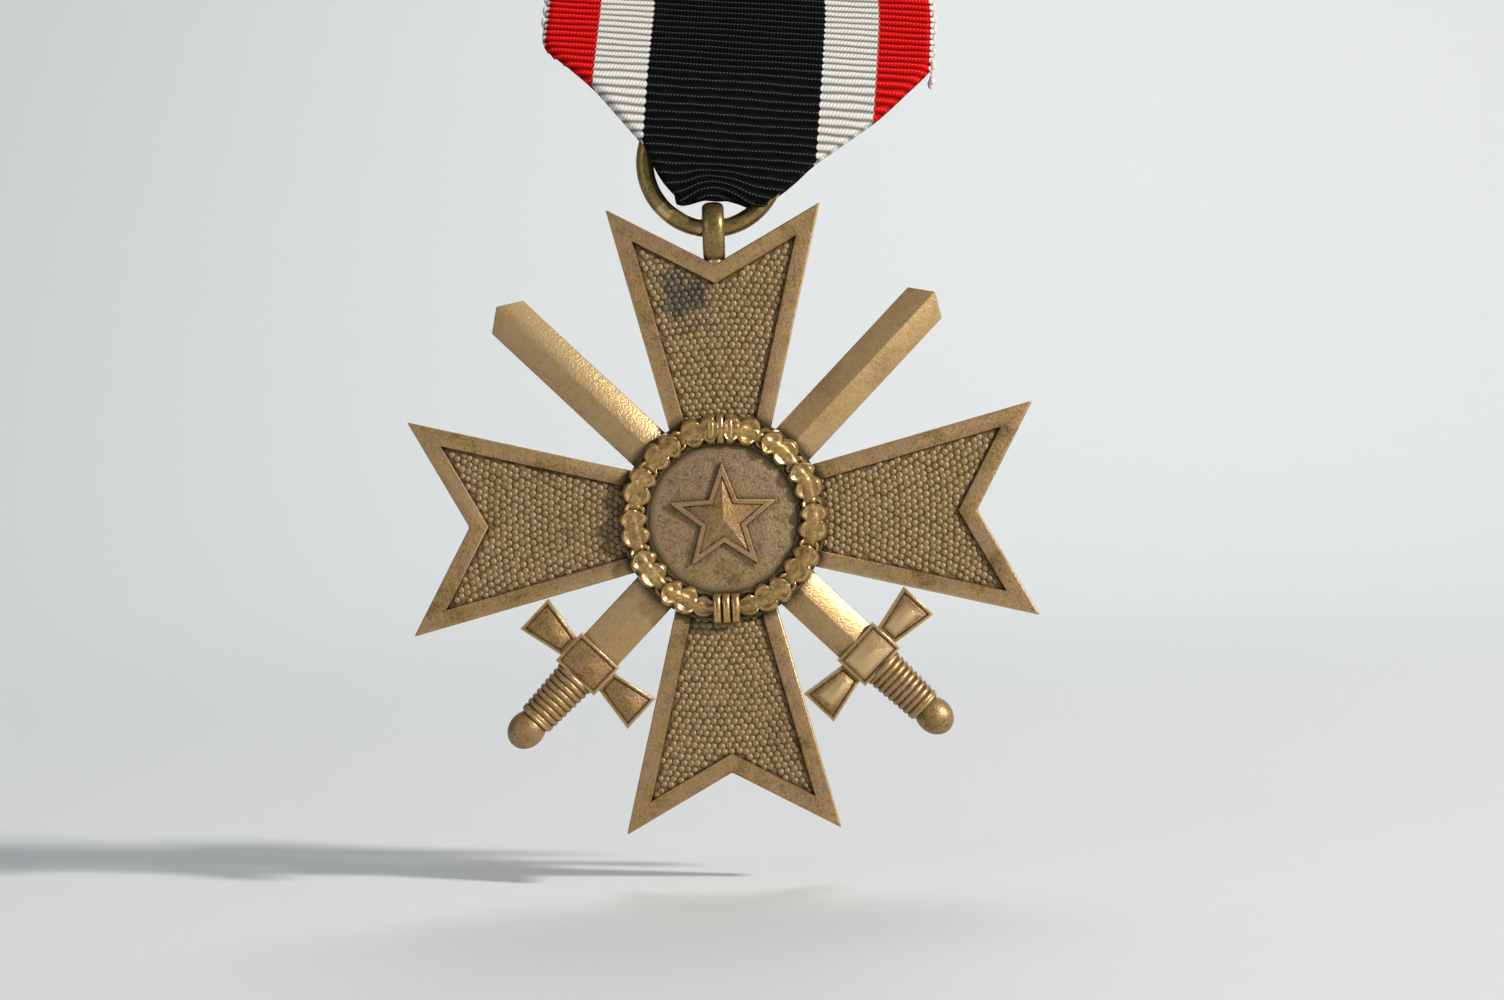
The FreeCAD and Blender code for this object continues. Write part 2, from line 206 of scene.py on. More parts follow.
# hollowReach and grainBump are in metres
def bronzeMaterial(name, look, roughness, hollowReach, grainBump, shadowRing=None, stained=False):
    material, nodes, links, shader = newMaterial(name)
    place = nodes.new("ShaderNodeTexCoord").outputs["Object"]
    patches = noiseNode(nodes, links, place, look["patch"], 5, 0.6)
    grain = noiseNode(nodes, links, place, look["grain"], 2, 0.7)
    mottle = noiseNode(nodes, links, place, 1300, 3, 0.65)
    base = rampNode(nodes, links, patches, [(0.32, look["shade"]), (0.46, look["lit"]),
                                            (0.57, look["pink"]), (0.70, look["lit"])])
    grainTone = rampNode(nodes, links, grain, [(0.30, grey(0.62)), (0.5, grey(1.0)), (0.68, grey(1.35))])
    base = mixNode(nodes, links, 1.0, base, grainTone, "MULTIPLY")
    blush = noiseNode(nodes, links, place, 2600, 2, 0.6)
    blush = rampNode(nodes, links, blush, [(0.48, grey(0.0)), (0.62, grey(0.55))])
    base = mixNode(nodes, links, blush, base, look["pink"])
    mottleTone = rampNode(nodes, links, mottle, [(0.30, grey(0.70)), (0.48, grey(1.0)), (0.72, grey(1.14))])
    base = mixNode(nodes, links, 1.0, base, mottleTone, "MULTIPLY")
    specks = rampNode(nodes, links, mottle, [(0.25, grey(0.55)), (0.31, grey(0.0))])
    base = mixNode(nodes, links, specks, base, look["tarnish"])
    # patina and painted shade: darker where ambient occlusion finds the surface closed in
    occlusion = nodes.new("ShaderNodeAmbientOcclusion")
    occlusion.inputs["Distance"].default_value = hollowReach
    occlusion.samples = 6
    openness = rampNode(nodes, links, occlusion.outputs["AO"],
                        [(0.38, grey(0.0)), (0.70, grey(0.62)), (0.95, grey(1.0))])
    base = mixNode(nodes, links, openness, look["hollowPatinaShade"], base)
    bend = nodes.new("ShaderNodeNewGeometry").outputs["Pointiness"]
    rub = mathNode(nodes, links, "ADD", bend, mathNode(nodes, links, "MULTIPLY", patches, 0.06))
    worn = rampNode(nodes, links, rub, [(0.545, grey(0.0)), (0.63, grey(0.8))])
    worn = mathNode(nodes, links, "MULTIPLY", worn, look["rub"])
    base = mixNode(nodes, links, worn, base, look["worn"])
    if stained:
        reach = fromMiddle(nodes, links, place, stain["x"], stain["z"])
        reach = mathNode(nodes, links, "DIVIDE", reach, stain["radius"])
        cloud = noiseNode(nodes, links, place, 620, 4, 0.6)
        reach = mathNode(nodes, links, "ADD", reach, mathNode(nodes, links, "MULTIPLY", cloud, 1.5))
        spot = rampNode(nodes, links, mathNode(nodes, links, "MULTIPLY", reach, 0.5),
                        [(0.50, grey(0.80)), (0.66, grey(0.0))])
        base = mixNode(nodes, links, spot, base, look["tarnish"])
    # painted shadow: a dark ring at the given distances from the middle
    if shadowRing:
        reach = mathNode(nodes, links, "DIVIDE", fromMiddle(nodes, links, place, 0, 0), 10.0)
        reach = mathNode(nodes, links, "ADD", reach, mathNode(nodes, links, "MULTIPLY", mottle, 0.03))
        stops = [(radius / 10, grey(amount)) for radius, amount in zip(shadowRing, (0.0, 0.9, 0.0))]
        shadowRingTone = rampNode(nodes, links, reach, stops)
        base = mixNode(nodes, links, shadowRingTone, base, look["shadowRing"])
    # painted shade on the wreath and ties: darker the nearer the surface lies to the middle plane of the
    # cross
    if "bedShadeLow" in look:
        split = nodes.new("ShaderNodeSeparateXYZ")
        links.new(place, split.inputs["Vector"])
        depth = mathNode(nodes, links, "SUBTRACT", split.outputs["Y"], crossMiddle.y)
        depth = mathNode(nodes, links, "DIVIDE", mathNode(nodes, links, "ABSOLUTE", depth), 2 * mm)
        bedShade = rampNode(nodes, links, depth,
                           [(look["bedShadeLow"] / 2, grey(0.95)), (look["bedShadeHigh"] / 2, grey(0.0))])
        base = mixNode(nodes, links, bedShade, base, look["hollowPatinaShade"])
    links.new(base, shader.inputs["Base Color"])
    shader.inputs["Metallic"].default_value = look["metal"]
    shader.inputs["Specular IOR Level"].default_value = 0.4
    rough = rampNode(nodes, links, patches, [(0.3, grey(roughness + 0.10)), (0.7, grey(roughness - 0.06))])
    rough = mixNode(nodes, links, worn, rough, grey(roughness - 0.14))
    links.new(rough, shader.inputs["Roughness"])
    relief = mathNode(nodes, links, "ADD", grain, mathNode(nodes, links, "MULTIPLY", mottle, 0.8))
    links.new(bumpNode(nodes, links, relief, 0.55, grainBump), shader.inputs["Normal"])
    return material


# what each bronze has of its own; the rest is as in bronzeLook
fieldLook = {"lit": (0.212, 0.140, 0.056), "pink": (0.200, 0.125, 0.068), "shade": (0.135, 0.086, 0.034),
             "hollowPatinaShade": (0.046, 0.028, 0.011), "worn": (0.40, 0.28, 0.135), "metal": 0.42, "rub": 0.6}
swordLook = {"lit": (0.30, 0.182, 0.060), "patch": 180}
discLook = {"lit": (0.310, 0.208, 0.092), "pink": (0.295, 0.190, 0.120), "shade": (0.17, 0.110, 0.050)}
wreathLook = {"lit": (0.48, 0.305, 0.110), "pink": (0.42, 0.255, 0.105), "shade": (0.28, 0.165, 0.055),
              "grain": 4200, "metal": 0.85, "bedShadeLow": 1.24, "bedShadeHigh": 1.62}
ringLook = {"lit": (0.25, 0.18, 0.062), "pink": (0.215, 0.152, 0.055), "shade": (0.13, 0.09, 0.032),
            "metal": 0.8}

bronze = bronzeMaterial("struckBronze", bronzeLook, 0.44, 0.0006, 0.00005, outerShadowRing)
fieldBronze = bronzeMaterial("fieldBronze", {**bronzeLook, **fieldLook}, 0.58, 0.0003, 0.00003, stained=True)
swordBronze = bronzeMaterial("swordBronze", {**bronzeLook, **swordLook}, 0.42, 0.0004, 0.00005, outerShadowRing)
discBronze = bronzeMaterial("discBronze", {**bronzeLook, **discLook}, 0.44, 0.0009, 0.00008, innerShadowRing)
wreathBronze = bronzeMaterial("wreathBronze", {**bronzeLook, **wreathLook}, 0.30, 0.0008, 0.00002)
ringBronze = bronzeMaterial("ringBrass", {**bronzeLook, **ringLook}, 0.31, 0.0005, 0.00001)

steelLook = {"colour": (0.55, 0.55, 0.53), "dull": (0.30, 0.30, 0.29), "grain": 900}


def steelMaterial(name, look, roughness):
    material, nodes, links, shader = newMaterial(name)
    place = nodes.new("ShaderNodeTexCoord")
    stretch = nodes.new("ShaderNodeMapping")
    stretch.inputs["Scale"].default_value = (0.15, 1, 1)
    links.new(place.outputs["Object"], stretch.inputs["Vector"])
    streaks = noiseNode(nodes, links, stretch.outputs["Vector"], look["grain"] * 4, 3, 0.6)
    patches = noiseNode(nodes, links, place.outputs["Object"], look["grain"] * 0.35, 4, 0.6)
    tone = rampNode(nodes, links, patches, [(0.35, look["dull"]), (0.6, look["colour"])])
    links.new(tone, shader.inputs["Base Color"])
    shader.inputs["Metallic"].default_value = 1.0
    rough = rampNode(nodes, links, streaks, [(0.3, grey(roughness - 0.08)), (0.7, grey(roughness + 0.1))])
    links.new(rough, shader.inputs["Roughness"])
    links.new(bumpNode(nodes, links, streaks, 0.3, 0.00002), shader.inputs["Normal"])
    return material


plateSteel = steelMaterial("platedSheet", steelLook, 0.38)
needleSteel = steelMaterial("drawnWire", {**steelLook, "colour": (0.68, 0.68, 0.66)}, 0.24)


# cross

cross = {"reach": 23.9, "notch": 19.4, "rootHalf": 2.16, "flare": 0.2527, "halfThick": 1.0,
         "rim": 1.25, "fieldDepth": 0.38, "wall": 0.08, "edgeRound": 0.15, "rimRound": 0.06, "hub": 7.9,
         "hubSink": 0.02, "armStart": 5.6}


def armHalf(r):
    return cross["rootHalf"] + cross["flare"] * r


def outlineFace(bm, points, y):
    return bm.faces.new([bm.verts.new((x, y, z)) for x, z in points])


# a flat plate from an outline of (x, z); returns its front and back faces
def plateFrom(bm, points, front, back):
    face = outlineFace(bm, points, front)
    made = bmesh.ops.extrude_face_region(bm, geom=[face])["geom"]
    verts = [v for v in made if isinstance(v, bmesh.types.BMVert)]
    bmesh.ops.translate(bm, vec=(0, back - front, 0), verts=verts)
    other = [f for f in made if isinstance(f, bmesh.types.BMFace)][0]
    bmesh.ops.recalc_face_normals(bm, faces=list({f for v in verts for f in v.link_faces} | {face}))
    return face, other


def pushFace(bm, face, distance):
    out = face.normal.copy()
    bmesh.ops.translate(bm, vec=out * distance, verts=list(face.verts))


def insetFace(bm, face, thickness, push=0.0):
    face.normal_update()
    bmesh.ops.inset_region(bm, faces=[face], thickness=thickness, use_even_offset=True)
    face.normal_update()
    if push:
        pushFace(bm, face, push)


def bevelEdges(bm, edges, offset, segments=2):
    bmesh.ops.bevel(bm, geom=edges, offset=offset, segments=segments, profile=0.5, affect="EDGES",
                    material=-1, clamp_overlap=True)


def makeArm(bm):
    tip = armHalf(cross["reach"])
    start = cross["armStart"]
    points = [(-armHalf(start), start), (armHalf(start), start), (tip, cross["reach"]),
              (0, cross["notch"]), (-tip, cross["reach"])]
    faces = plateFrom(bm, points, -cross["halfThick"], cross["halfThick"])
    outline = [e for f in faces for e in f.edges]
    uprights = {e for f in faces for v in f.verts for e in v.link_edges} - set(outline)
    rims = []
    for face in faces:
        insetFace(bm, face, cross["rim"])
        rims += list(face.edges)
        insetFace(bm, face, cross["wall"], -cross["fieldDepth"])
    bevelEdges(bm, outline + list(uprights), cross["edgeRound"], 3)
    bevelEdges(bm, [e for e in rims if e.is_valid], cross["rimRound"], 2)


def makeCross():
    bm = bmesh.new()
    for quarter in range(4):
        known = set(bm.verts)
        makeArm(bm)
        fresh = [v for v in bm.verts if v not in known]
        turn = Matrix.Rotation(math.radians(90 * quarter), 3, "Y")
        bmesh.ops.rotate(bm, verts=fresh, cent=(0, 0, 0), matrix=turn)
    lie = Matrix.Rotation(math.radians(90), 4, "X")
    bmesh.ops.create_cone(bm, cap_ends=True, segments=96, radius1=cross["hub"], radius2=cross["hub"],
                          depth=2 * cross["halfThick"] - 2 * cross["hubSink"], matrix=lie)
    return finishPiece(bm, "crossArms", "cross", bronze, ["cross_plate"], flat=True)


pebble = {"pitch": 0.53, "row": 0.46, "radius": 0.31, "height": 0.145, "sink": 0.012, "jitter": 0.07,
          "fanCentre": -14.0, "fanHalf": 0.42, "start": 7.7, "margin": 0.17, "sizes": (0.88, 1.08),
          "heights": (0.75, 1.2), "spareRows": 4, "rowsBefore": 2}


# whether a point of the upper arm lies on its sunk field, clear of the rim and the wreath
def inField(x, z):
    side = armHalf(z) - cross["rim"] * math.hypot(1, cross["flare"]) - pebble["margin"]
    slope = (cross["reach"] - cross["notch"]) / armHalf(cross["reach"])
    notch = cross["notch"] - (cross["rim"] + pebble["margin"]) * math.hypot(1, slope)
    return abs(x) < side and z < notch + slope * abs(x) and math.hypot(x, z) > pebble["start"]


def joinInto(bm, part):
    mesh = bpy.data.meshes.new("part")
    part.to_mesh(mesh)
    part.free()
    bm.from_mesh(mesh)
    bpy.data.meshes.remove(mesh)


# small domes in fanned rows, each a little different
def makePebbles(name, side):
    bm = bmesh.new()
    floor = side * (cross["halfThick"] - cross["fieldDepth"] - pebble["sink"])
    rows = int((cross["reach"] - pebble["start"] + pebble["spareRows"]) / pebble["row"])
    upright = Matrix.Rotation(math.radians(90), 4, "X")
    for quarter in range(4):
        turn = Matrix.Rotation(math.radians(90 * quarter), 4, "Y")
        for row in range(rows):
            reach = pebble["start"] - pebble["fanCentre"] + (row - pebble["rowsBefore"]) * pebble["row"]
            step = pebble["pitch"] / reach
            count = int(pebble["fanHalf"] / step)
            line = bmesh.new()  # a row at a time keeps the operator quick
            for column in range(-count, count + 1):
                angle = (column + 0.5 * (row % 2)) * step
                x = reach * math.sin(angle) + random.uniform(-1, 1) * pebble["jitter"]
                z = pebble["fanCentre"] + reach * math.cos(angle) + random.uniform(-1, 1) * pebble["jitter"]
                if not inField(x, z):
                    continue
                size = pebble["radius"] * random.uniform(*pebble["sizes"])
                tall = pebble["height"] * random.uniform(*pebble["heights"])
                shape = Matrix.Diagonal((size, tall, size, 1))
                bmesh.ops.create_uvsphere(line, u_segments=8, v_segments=5, radius=1,
                                          matrix=turn @ Matrix.Translation((x, floor, z)) @ shape @ upright)
            joinInto(bm, line)
    return finishPiece(bm, name, "cross", fieldBronze, sharp=180, recalc=False)


# swords

sword = {"halfWidth": 1.75, "edgeHalf": 0.38, "ridgeHalf": 0.96, "shoulder": 22.58, "point": 23.7,
         "block": 15.2, "blockAcross": 3.97, "blockAlong": 2.87, "blockHalf": 1.05, "guardSpan": 5.6,
         "guardRoot": 0.87, "guardEnd": 1.55, "guardHalf": 0.85, "border": 0.24, "gripEnd": 21.0,
         "gripWide": 1.64, "gripNarrow": 1.42, "gripSink": 0.1, "ribs": 9, "ribDepth": 0.15, "ribSteps": 6,
         "flat": 0.8, "bladeRound": 0.07, "panelGroove": 0.06, "panelSink": 0.12, "panelRound": 0.09,
         "blockHip": (1.06, 0.50), "guardHip": (0.72, 0.46), "guardSink": 0.05}
pommel = {"centre": 22.08, "radius": 1.38, "shape": (1, 0.9, 1.16, 1)}
collar = {"centre": 20.95, "radius": 1.42, "shape": (1, 0.85, 0.28, 1)}


def addBlade(bm):
    half = sword["halfWidth"]
    low = -sword["block"]
    corners = [(-half, sword["edgeHalf"], low), (0, sword["ridgeHalf"], low), (half, sword["edgeHalf"], low),
               (half, sword["edgeHalf"], sword["shoulder"]), (0, sword["ridgeHalf"], sword["point"]),
               (-half, sword["edgeHalf"], sword["shoulder"])]
    a, b, c, d, e, f = [bm.verts.new((x, -y, z)) for x, y, z in corners]
    faces = [bm.faces.new((a, b, e, f)), bm.faces.new((b, c, d, e))]
    made = bmesh.ops.extrude_face_region(bm, geom=faces)["geom"]
    for vert in made:
        if isinstance(vert, bmesh.types.BMVert):
            vert.co.y = -vert.co.y
    edges = {edge for face in bm.faces for edge in face.edges}
    bmesh.ops.recalc_face_normals(bm, faces=bm.faces)
    bevelEdges(bm, list(edges), sword["bladeRound"], 2)


# a slab with a thin raised border round a hipped panel, on both faces; hip is its run and its rise
def addPanel(bm, points, halfThick, hip):
    faces = plateFrom(bm, points, -halfThick, halfThick)
    outline = [e for f in faces for e in f.edges]
    for face in faces:
        insetFace(bm, face, sword["border"])
        insetFace(bm, face, sword["panelGroove"], -sword["panelSink"])
        insetFace(bm, face, *hip)
    bevelEdges(bm, outline, sword["panelRound"], 2)


def addGuard(bm):
    across = sword["blockAcross"] / 2
    along = sword["blockAlong"] / 2
    middle = -sword["block"]
    addPanel(bm, [(-across, middle - along), (across, middle - along), (across, middle + along),
                  (-across, middle + along)], sword["blockHalf"], sword["blockHip"])
    for side in (-1, 1):
        near = side * (across - sword["guardSink"])
        far = side * sword["guardSpan"]
        points = [(near, middle - sword["guardRoot"]), (far, middle - sword["guardEnd"]),
                  (far, middle + sword["guardEnd"]), (near, middle + sword["guardRoot"])]
        addPanel(bm, points[::side], sword["guardHalf"], sword["guardHip"])


def addGrip(bm):
    start = sword["block"] + sword["blockAlong"] / 2 - sword["gripSink"]
    steps = sword["ribSteps"]
    profile = [bm.verts.new((0, 0, -start))]
    for i in range(sword["ribs"] * steps + 1):
        t = i / (sword["ribs"] * steps)
        swell = abs(math.sin(math.pi * i / steps)) ** 0.7
        radius = sword["gripWide"] + (sword["gripNarrow"] - sword["gripWide"]) * t
        radius -= sword["ribDepth"] * (1 - swell)
        profile.append(bm.verts.new((radius, 0, -start - (sword["gripEnd"] - start) * t)))
    profile.append(bm.verts.new((0, 0, -sword["gripEnd"])))
    edges = [bm.edges.new(pair) for pair in zip(profile, profile[1:])]
    bmesh.ops.spin(bm, geom=profile + edges, cent=(0, 0, 0), axis=(0, 0, 1), angle=2 * math.pi,
                   steps=28, use_merge=True)
    bmesh.ops.scale(bm, vec=(1, sword["flat"], 1), verts=bm.verts)


def makeSword(name, direction, node):
    bm = bmesh.new()
    addGrip(bm)
    blade = bmesh.new()
    addBlade(blade)
    addGuard(blade)
    for face in bm.faces:
        face.smooth = True
    joinInto(bm, blade)
    for ball, segments in ((pommel, 20), (collar, 12)):
        place = Matrix.Translation((0, 0, -ball["centre"])) @ Matrix.Diagonal(ball["shape"])
        bmesh.ops.create_uvsphere(bm, u_segments=32, v_segments=segments, radius=ball["radius"], matrix=place)
    for face in bm.faces:  # the blade and guard keep flat facets, the grip and pommel are round
        if face.calc_center_median().z < -sword["block"] - sword["blockAlong"] / 2 - 0.02:
            face.smooth = True
    turn = Matrix.Rotation(math.radians(45 * direction), 3, "Y")
    bmesh.ops.rotate(bm, verts=bm.verts, cent=(0, 0, 0), matrix=turn)
    return finishPiece(bm, name, "cross", swordBronze, [node], sharp=50, flat=True)


# medallion, wreath, ties and star

medallion = {"radius": 5.86, "root": 0.9, "edge": 1.30, "crown": 1.6, "steps": 10}
wreath = {"inner": 5.75, "outer": 7.92, "bed": 0.12, "leaves": 6, "gap": 8.5, "overlap": 1.3,
          "halfWidth": 1.2, "lobes": 2.8, "rise": 0.74}
leaf = {"foot": 1.0, "lowest": 0.05, "highest": 1.26, "waver": 0.04, "tipRise": 0.36, "rimRise": 0.10,
        "lobeCup": 0.22, "betweenLobes": 0.26, "vein": 0.07}
tie = {"half": 0.33, "pitch": 0.70, "reach": 1.16, "height": 1.22, "shoulder": 0.45}
star = {"radius": 4.3, "ratio": 0.42, "top": 1.92, "root": 1.1, "border": 0.34, "wall": 0.07,
        "groove": 0.1, "peak": 0.42, "edgeRound": 0.1}


def makeDisc(name, side, node):
    bm = bmesh.new()
    count = medallion["steps"]
    root = side * medallion["root"]
    profile = [bm.verts.new((0, root, 0)), bm.verts.new((medallion["radius"], root, 0))]
    for i in range(count + 1):
        r = medallion["radius"] * (1 - i / count)
        y = medallion["crown"] - (medallion["crown"] - medallion["edge"]) * (r / medallion["radius"]) ** 2
        profile.append(bm.verts.new((r, side * y, 0)))
    edges = [bm.edges.new(pair) for pair in zip(profile, profile[1:])]
    bmesh.ops.spin(bm, geom=profile + edges, cent=(0, 0, 0), axis=(0, 1, 0), angle=2 * math.pi, steps=72,
                   use_merge=True)
    return finishPiece(bm, name, "cross", discBronze, [node])


def lobePhase(s):
    return abs(math.sin(math.pi * (wreath["lobes"] * s + 0.12)))


def leafHalf(s):
    body = 0.62 + 0.38 * smooth(s / 0.45)
    end = math.sqrt(max(0.0, 1 - (max(0.0, s - 0.72) / 0.28) ** 2.2))
    return wreath["halfWidth"] * body * end * (0.58 + 0.42 * lobePhase(s) ** 0.5)


# a sheet of relief becomes a closed lump: its border drops to the hub and is filled
def closeDown(bm, verts, level):
    edges = [e for e in {e for v in verts for e in v.link_edges} if e.is_boundary]
    made = bmesh.ops.extrude_edge_only(bm, edges=edges)["geom"]
    for part in made:
        if isinstance(part, bmesh.types.BMVert):
            part.co.y = level
    bottom = [p for p in made if isinstance(p, bmesh.types.BMEdge)]
    bmesh.ops.edgeloop_fill(bm, edges=bottom)


# s runs along the leaf from stem to tip, t across it
def addLeaf(bm, index, hand, side):
    span = (180 - 2 * wreath["gap"]) / wreath["leaves"]
    first = 180 - wreath["gap"] - span * index
    made = bmesh.ops.create_grid(bm, x_segments=44, y_segments=20, size=1)["verts"]
    middle = (wreath["inner"] + wreath["outer"]) / 2
    for vert in made:
        s = (vert.co.x + 1) / 2
        t = vert.co.y
        angle = math.radians(first - span * wreath["overlap"] * s)
        across = t * leafHalf(s)
        radius = middle + across + leaf["waver"] * math.sin(7 * index + 9 * s)
        lobe = lobePhase(s)
        rim = smooth((abs(t) - 0.45) / 0.3)
        height = wreath["bed"] + wreath["rise"] * (1 - abs(t) ** 7)
        height += leaf["tipRise"] * smooth((s - 0.15) / 0.8)
        height += leaf["rimRise"] * rim * (1 - abs(t) ** 8)
        cup = math.exp(-((abs(t) - 0.38) / 0.26) ** 2) * (1 - smooth((s - 0.82) / 0.15))
        height -= leaf["lobeCup"] * lobe * cup
        height -= leaf["betweenLobes"] * (1 - lobe) ** 2 * smooth(abs(t) / 0.6)
        height -= leaf["vein"] * math.exp(-(t / 0.12) ** 2) * (1 - smooth((s - 0.6) / 0.4))
        height = leaf["foot"] + max(leaf["lowest"], min(height, leaf["highest"]))
        vert.co = (hand * radius * math.sin(angle), side * height, radius * math.cos(angle))
    closeDown(bm, made, side * leaf["foot"])


def makeWreath(name, side, node):
    bm = bmesh.new()
    profile = [(wreath["inner"] + 0.3, 0.95), (wreath["inner"] + 0.3, 1.06), (wreath["inner"] + 0.6, 1.16),
               (wreath["outer"] - 0.5, 1.16), (wreath["outer"] - 0.2, 1.04), (wreath["outer"] - 0.2, 0.95)]
    verts = [bm.verts.new((r, side * y, 0)) for r, y in profile]
    edges = [bm.edges.new(pair) for pair in zip(verts, verts[1:] + verts[:1])]
    bmesh.ops.spin(bm, geom=verts + edges, cent=(0, 0, 0), axis=(0, 1, 0), angle=2 * math.pi, steps=96,
                   use_merge=True)
    for hand in (-1, 1):
        for index in range(wreath["leaves"]):
            part = bmesh.new()
            addLeaf(part, index, hand, side)
            joinInto(bm, part)
    return finishPiece(bm, name, "cross", wreathBronze, [node], sharp=50)


def makeTies(name, side, node):
    bm = bmesh.new()
    middle = (wreath["inner"] + wreath["outer"]) / 2
    for end in (-1, 1):
        for i in (-1, 0, 1):
            made = bmesh.ops.create_grid(bm, x_segments=10, y_segments=18, size=1)["verts"]
            for vert in made:
                u, v = vert.co.x, vert.co.y
                turn = 0.5 * math.pi * v
                roundness = math.sqrt(max(0.0, 1 - abs(u) ** 2.6))
                height = tie["shoulder"] + (tie["height"] - tie["shoulder"]) * math.cos(turn) ** 0.6
                height *= 0.72 + 0.28 * roundness
                radius = middle + tie["reach"] * math.sin(turn)
                vert.co = (i * tie["pitch"] + u * tie["half"], side * (1.0 + height), end * radius)
            closeDown(bm, made, side * 1.0)
    return finishPiece(bm, name, "cross", wreathBronze, [node], sharp=50)


def makeStar():
    bm = bmesh.new()
    points = []
    for i in range(10):
        radius = star["radius"] * (1 if i % 2 == 0 else star["ratio"])
        angle = math.radians(36 * i)
        points.append((-radius * math.sin(angle), radius * math.cos(angle)))
    face = plateFrom(bm, points, -star["top"], -star["root"])[0]
    outline = list(face.edges)
    insetFace(bm, face, star["border"])
    insetFace(bm, face, star["wall"], -star["groove"])
    centre = bmesh.ops.poke(bm, faces=[face])["verts"][0]
    centre.co.y -= star["peak"]
    bevelEdges(bm, outline, star["edgeRound"], 3)
    return finishPiece(bm, "centreStar", "cross", bronze, ["centre_star"], flat=True)


# eyelet and ring

eyelet = {"middle": 22.2, "mean": 1.52, "thick": 0.52, "half": 0.85, "drop": 0.34, "neckLow": 18.6,
          "neckHigh": 19.9, "neckWide": 0.9, "neckNarrow": 0.84, "neckDeep": 1.1}
ring = {"radius": 5.075, "wire": 0.675, "gap": 0.12, "gapOffset": 1.15, "gapSlant": 0.6}


def makeEyelet():
    bm = bmesh.new()
    count = 24
    section = []
    for i in range(count):
        a = 2 * math.pi * i / count
        x = eyelet["half"] * math.copysign(abs(math.cos(a)) ** 0.75, math.cos(a))
        r = eyelet["thick"] * math.copysign(abs(math.sin(a)) ** 0.85, math.sin(a))
        section.append(bm.verts.new((x, 0, eyelet["middle"] + eyelet["mean"] + r)))
    edges = [bm.edges.new(pair) for pair in zip(section, section[1:] + section[:1])]
    bmesh.ops.spin(bm, geom=section + edges, cent=(0, 0, eyelet["middle"]), axis=(1, 0, 0),
                   angle=2 * math.pi, steps=56, use_merge=True)
    for vert in bm.verts:  # the lower half is drawn out to meet the notch
        if vert.co.z < eyelet["middle"]:
            vert.co.z += (vert.co.z - eyelet["middle"]) * eyelet["drop"]
    depth = eyelet["neckHigh"] - eyelet["neckLow"]
    middle = (eyelet["neckHigh"] + eyelet["neckLow"]) / 2
    shape = Matrix.Translation((0, 0, middle)) @ Matrix.Diagonal((1, eyelet["neckDeep"], 1, 1))
    bmesh.ops.create_cone(bm, cap_ends=True, segments=32, radius1=eyelet["neckWide"],
                          radius2=eyelet["neckNarrow"], depth=depth, matrix=shape)
    return finishPiece(bm, "eyeletLoop", "cross", ringBronze, ["eyelet"], sharp=60)


def makeRing():
    bm = bmesh.new()
    centre = eyelet["middle"] + ring["radius"]
    gap = ring["gap"] / ring["radius"]
    section = bmesh.ops.create_circle(bm, segments=28, radius=ring["wire"],
                                      matrix=Matrix.Translation((0, 0, eyelet["middle"]))
                                      @ Matrix.Rotation(math.radians(90), 4, "Y"))["verts"]
    turn = Matrix.Rotation(ring["gapOffset"] / ring["radius"] + gap / 2, 3, "Y")
    bmesh.ops.rotate(bm, verts=section, cent=(0, 0, centre), matrix=turn)
    bmesh.ops.spin(bm, geom=section + list(bm.edges), cent=(0, 0, centre), axis=(0, 1, 0),
                   angle=2 * math.pi - gap, steps=120)
    ends = [v for v in bm.verts if any(e.is_boundary for e in v.link_edges)]
    for vert in ends:  # the cut is slanted, so it shows as a dark line
        lean = Matrix.Rotation(ring["gapSlant"] * vert.co.y / ring["radius"], 3, "Y")
        bmesh.ops.rotate(bm, verts=[vert], cent=(0, 0, centre), matrix=lean)
    bmesh.ops.holes_fill(bm, edges=[e for e in bm.edges if e.is_boundary], sides=0)
    return finishPiece(bm, "splitRing", "ring", ringBronze, ["suspension_ring"], sharp=50)


# ribbon

ribbon = {"half": 15.0, "foldBottom": 23.85, "foldCentre": 1.0, "foldClear": 1.0,
          "pocketClear": 0.4, "lean": math.radians(6.0), "leanTop": 38.5,
          "setBack": 7.0, "bendStart": 33.0, "bendEnd": 45.0, "stitches": 57.0, "plateTop": 68.0,
          "hem": 3.0, "backTop": 59.9, "thick": 0.5, "pitch": 0.64, "ribDepth": 0.15, "perRib": 6,
          "columns": 44, "turnStart": 24.3, "throat": 2.9, "thickShare": 0.86, "capRise": 0.55,
          "hump": 0.5, "sag": 0.55, "roll": 0.26, "rollReach": 0.4}


def ribbonDepth(z):
    return ribbon["setBack"] * smooth((z - ribbon["bendStart"]) / (ribbon["bendEnd"] - ribbon["bendStart"]))


def halfSpace(z):
    return ribbon["foldClear"] + (ribbon["pocketClear"] - ribbon["foldClear"]) * smooth((z - 33.4) / 3)


def ribbonMiddle(z):
    slope = math.tan(ribbon["lean"])
    if z <= ribbon["leanTop"]:
        return ribbon["foldCentre"] + (z - ribbon["foldBottom"]) * slope
    span = ribbon["stitches"] - ribbon["leanTop"]
    t = min(1.0, (z - ribbon["leanTop"]) / span)
    offset = ribbon["foldCentre"] + (ribbon["leanTop"] - ribbon["foldBottom"]) * slope
    return offset * (2 * t**3 - 3 * t**2 + 1) + slope * span * (t**3 - 2 * t**2 + t)


# the ribs lean with the fold and come level slowly: the cloth shears, it can't bend in its own plane
def ribbonSlope(z):
    span = ribbon["stitches"] - ribbon["leanTop"]
    return math.tan(ribbon["lean"]) * (1 - smooth((z - ribbon["leanTop"]) / span))


